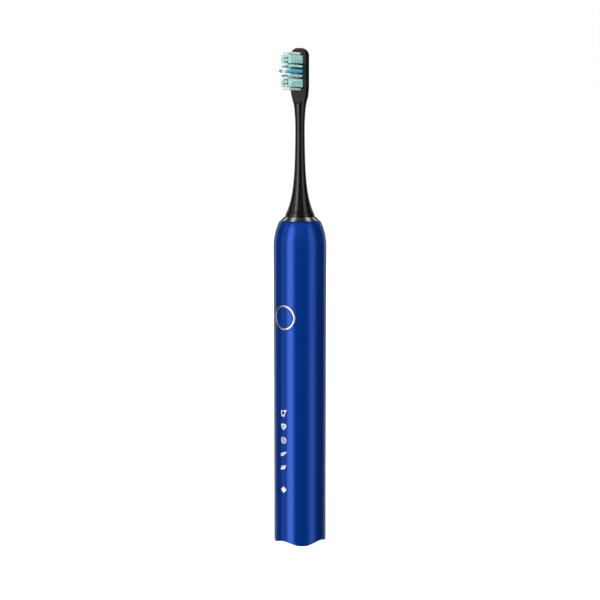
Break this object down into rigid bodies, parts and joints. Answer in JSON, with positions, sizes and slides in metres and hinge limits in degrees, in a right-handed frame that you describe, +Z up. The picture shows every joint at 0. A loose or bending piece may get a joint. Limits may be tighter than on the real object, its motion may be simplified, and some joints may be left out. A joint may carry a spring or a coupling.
{
  "type": "electric toothbrush",
  "caption": "Upright sonic electric toothbrush: round metal handle with a ringed power button and a four-footed rim, and a slim removable brush head with tufted bristles.",
  "frame": {"origin": "centre of the handle's bottom rim, on the axis, at the level of its four feet", "axes": "+Z up along the handle's axis; -Y is the front, with the power button and the bristles; +X is the front view's right"},
  "size_m": [0.027, 0.0271, 0.2552],
  "materials": {
    "blue_metal": "anodised, satin metallic blue",
    "silver": "fine satin",
    "chrome": "polished",
    "steel": "plain",
    "gloss_black": "glossy black",
    "dark_rubber": "matt",
    "white_plastic": "moulded white",
    "copper": "enamelled copper wire, as one solid",
    "cell_wrap": "shrink-wrapped cell",
    "brass": "plain",
    "board_green": "solder mask",
    "light_white": "clear white lamp",
    "white_bristle": "nylon filaments",
    "mint_bristle": "nylon filaments",
    "aqua_bristle": "nylon filaments"
  },
  "bodies": {
    "handle": {"base_cap": "gloss_black", "base_seal": "dark_rubber", "battery_cell": "cell_wrap", "battery_contact_high": "brass", "battery_contact_low": "brass", "battery_light": "light_white", "button_membrane": "dark_rubber", "button_ring": "silver", "charging_coil": "copper", "circuit_board": "board_green", "collar_nut": "steel", "controller_chip": "gloss_black", "front_bush": "brass", "handle_shell": "blue_metal", "inner_frame": "white_plastic", "light_baffle": "white_plastic", "mode_light_1": "light_white", "mode_light_2": "light_white", "mode_light_3": "light_white", "mode_light_4": "light_white", "mode_light_5": "light_white", "motor_case": "steel", "motor_damper": "dark_rubber", "motor_end_cap": "steel", "rear_bush": "brass", "shaft_seal": "dark_rubber", "stator_coil": "copper", "stator_core": "steel", "tact_switch": "steel", "top_collar": "chrome"},
    "drive": {"drive_shaft": "steel", "rotor_core": "steel", "rotor_magnet_left": "silver", "rotor_magnet_right": "silver"},
    "power_button": {"button_cap": "blue_metal"},
    "switch_pin": {"switch_plunger": "gloss_black"},
    "brush_head": {"blue_tuft_left": "aqua_bristle", "blue_tuft_right": "aqua_bristle", "end_tuft_high": "white_bristle", "end_tuft_low": "white_bristle", "middle_tuft_centre": "white_bristle", "middle_tuft_high_1": "white_bristle", "middle_tuft_high_2": "white_bristle", "middle_tuft_high_3": "white_bristle", "middle_tuft_low_1": "white_bristle", "middle_tuft_low_2": "white_bristle", "middle_tuft_low_3": "white_bristle", "small_tuft_left_high": "mint_bristle", "small_tuft_left_low": "mint_bristle", "small_tuft_right_high": "mint_bristle", "small_tuft_right_low": "mint_bristle", "wide_tuft_left_high": "mint_bristle", "wide_tuft_left_low": "mint_bristle", "wide_tuft_right_high": "mint_bristle", "wide_tuft_right_low": "mint_bristle", "head_shell": "gloss_black", "shaft_socket": "white_plastic", "socket_clip": "steel"}
  },
  "joints": [
    {"name": "shaft_oscillation", "type": "hinge", "parent": "handle", "child": "drive", "pos_m": [0, 0, 0.17], "axis": [0, 0, 1], "range_deg": [-5, 5], "stiffness_Nm_per_rad": 0.3},
    {"name": "head_pull_off", "type": "slide", "parent": "drive", "child": "brush_head", "axis": [0, 0, 1], "range_m": [0, 0.025]},
    {"name": "power_button_press", "type": "slide", "parent": "handle", "child": "power_button", "axis": [0, 1, 0], "range_m": [0, 0.0004], "stiffness_N_per_m": 1500, "springref_m": -0.0005},
    {"name": "switch_travel", "type": "slide", "parent": "handle", "child": "switch_pin", "axis": [0, 1, 0], "range_m": [0, 0.0004]}
  ],
  "couplings": [
    {"joint": "switch_travel", "follows": "power_button_press", "ratio": 1}
  ]
}
